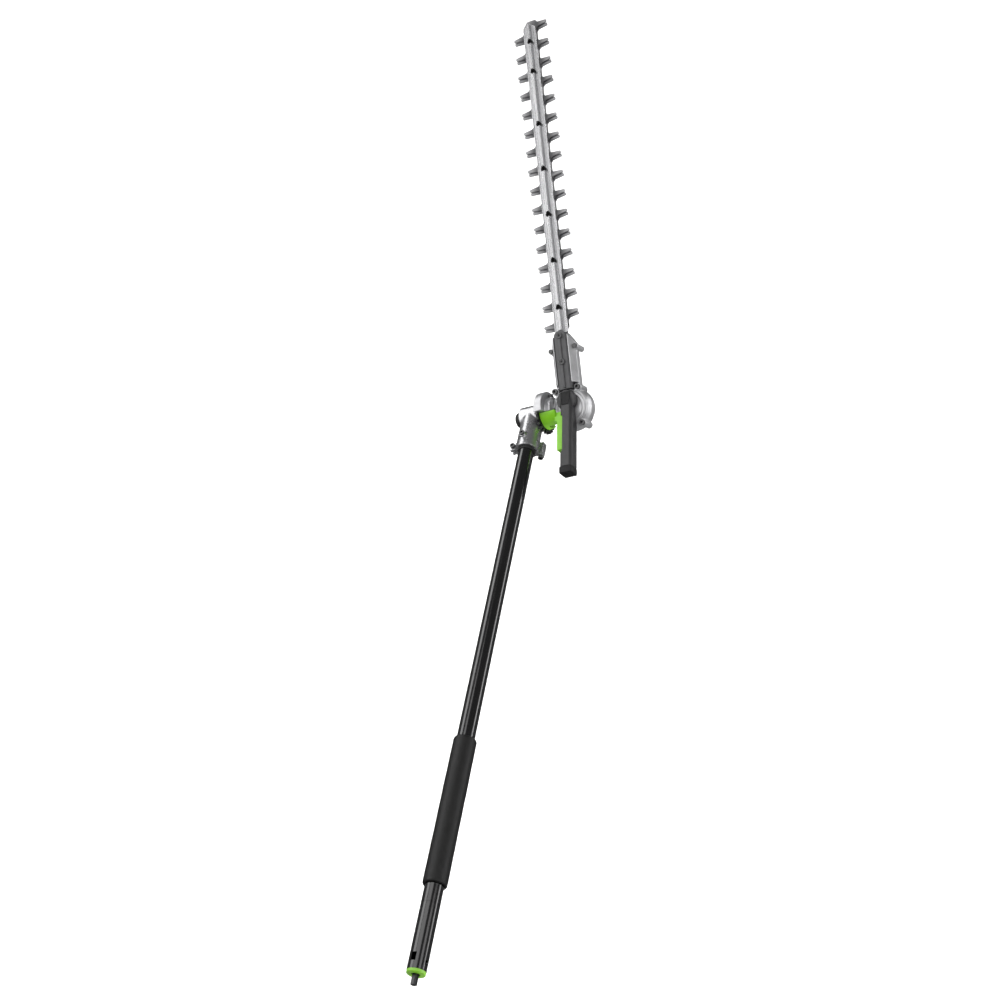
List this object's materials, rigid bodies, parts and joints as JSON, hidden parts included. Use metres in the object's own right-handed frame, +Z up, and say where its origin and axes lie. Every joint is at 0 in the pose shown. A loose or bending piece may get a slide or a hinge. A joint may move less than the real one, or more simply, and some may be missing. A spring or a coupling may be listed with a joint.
{
  "type": "long-reach hedge trimmer attachment",
  "caption": "Pole hedge trimmer attachment: black tube with foam grip, folding cast gearbox head, green release lever and a double-sided toothed blade.",
  "frame": {"origin": "centre of the tube's lower (spigot) end", "axes": "+X along the tube towards the head, +Z up, head on the -Y side"},
  "size_m": [1.4603, 0.1265, 0.367],
  "materials": {
    "tube_black": "gloss",
    "foam": "matte",
    "green": "satin",
    "cast_light": "satin",
    "cast_dark": "satin",
    "bar_alloy": "satin",
    "blade_steel": "satin",
    "gear_steel": "satin",
    "black_steel": "satin",
    "bright_steel": "satin",
    "brass": "satin",
    "black_plastic": "satin",
    "black_rubber": "matte",
    "white_nylon": "matte",
    "bronze": "satin"
  },
  "bodies": {
    "root": {"shaft_tube": "tube_black", "foam_grip": "foam", "end_cap": "green", "drive_guides": "white_nylon", "gear_case": "cast_light", "clamp_bolt": "black_steel", "foot_screw": "black_steel", "locating_screw": "black_steel", "seal_ring": "black_rubber", "pivot_end_plug": "black_plastic", "drive_bearing": "gear_steel", "cross_bearings": "gear_steel", "detent_ring": "black_steel", "detent_screws": "black_steel", "pivot_sleeve": "gear_steel"},
    "drive": {"drive_shaft": "gear_steel", "drive_pinion": "gear_steel"},
    "cross": {"cross_shaft": "gear_steel", "cross_gear": "gear_steel", "crank_pinion": "gear_steel"},
    "head": {"guide_bar": "bar_alloy", "bar_screws": "black_steel", "bar_spacers": "bright_steel", "bar_nuts": "bright_steel", "head_casting": "cast_light", "drum_lid": "cast_light", "neck_cover": "cast_dark", "cover_screws": "black_steel", "neck_rails": "cast_light", "side_screws": "black_steel", "drum_bolts": "black_steel", "grease_nipple": "brass", "pivot_bush": "bronze", "knuckle_bolt": "black_steel", "handle_body": "black_plastic", "handle_end_cap": "black_plastic", "handle_panel": "black_plastic", "crank_bearing": "gear_steel"},
    "crank": {"crown_gear": "gear_steel", "crank_shaft": "gear_steel"},
    "upper_blade": {"upper_blade": "blade_steel"},
    "lower_blade": {"lower_blade": "blade_steel"},
    "trigger": {"release_trigger": "green"}
  },
  "joints": [
    {"name": "drive_spin", "type": "hinge", "parent": "root", "child": "drive", "pos_m": [0, 0, 0], "axis": [1, 0, 0], "continuous": true},
    {"name": "cross_spin", "type": "hinge", "parent": "root", "child": "cross", "pos_m": [0.875, 0, 0], "axis": [0, 1, 0], "continuous": true},
    {"name": "head_pivot", "type": "hinge", "parent": "root", "child": "head", "pos_m": [0.875, 0, 0], "axis": [0, -1, 0], "range_deg": [-75, 60]},
    {"name": "crank_spin", "type": "hinge", "parent": "head", "child": "crank", "pos_m": [0.875, -0.0655, 0], "axis": [-0.5, 0, 0.866], "continuous": true},
    {"name": "upper_blade_slide", "type": "slide", "parent": "head", "child": "upper_blade", "axis": [0.866, 0, 0.5], "range_m": [-0.0074, 0.0026]},
    {"name": "lower_blade_slide", "type": "slide", "parent": "head", "child": "lower_blade", "axis": [0.866, 0, 0.5], "range_m": [-0.0026, 0.0074]},
    {"name": "trigger_slide", "type": "slide", "parent": "head", "child": "trigger", "axis": [0, -1, 0], "range_m": [0, 0.006], "stiffness_N_per_m": 1200}
  ],
  "couplings": [
    {"joint": "cross_spin", "follows": "drive_spin", "ratio": 1},
    {"joint": "crank_spin", "follows": "drive_spin", "ratio": 0.33333},
    {"joint": "lower_blade_slide", "follows": "upper_blade_slide", "ratio": -1}
  ]
}
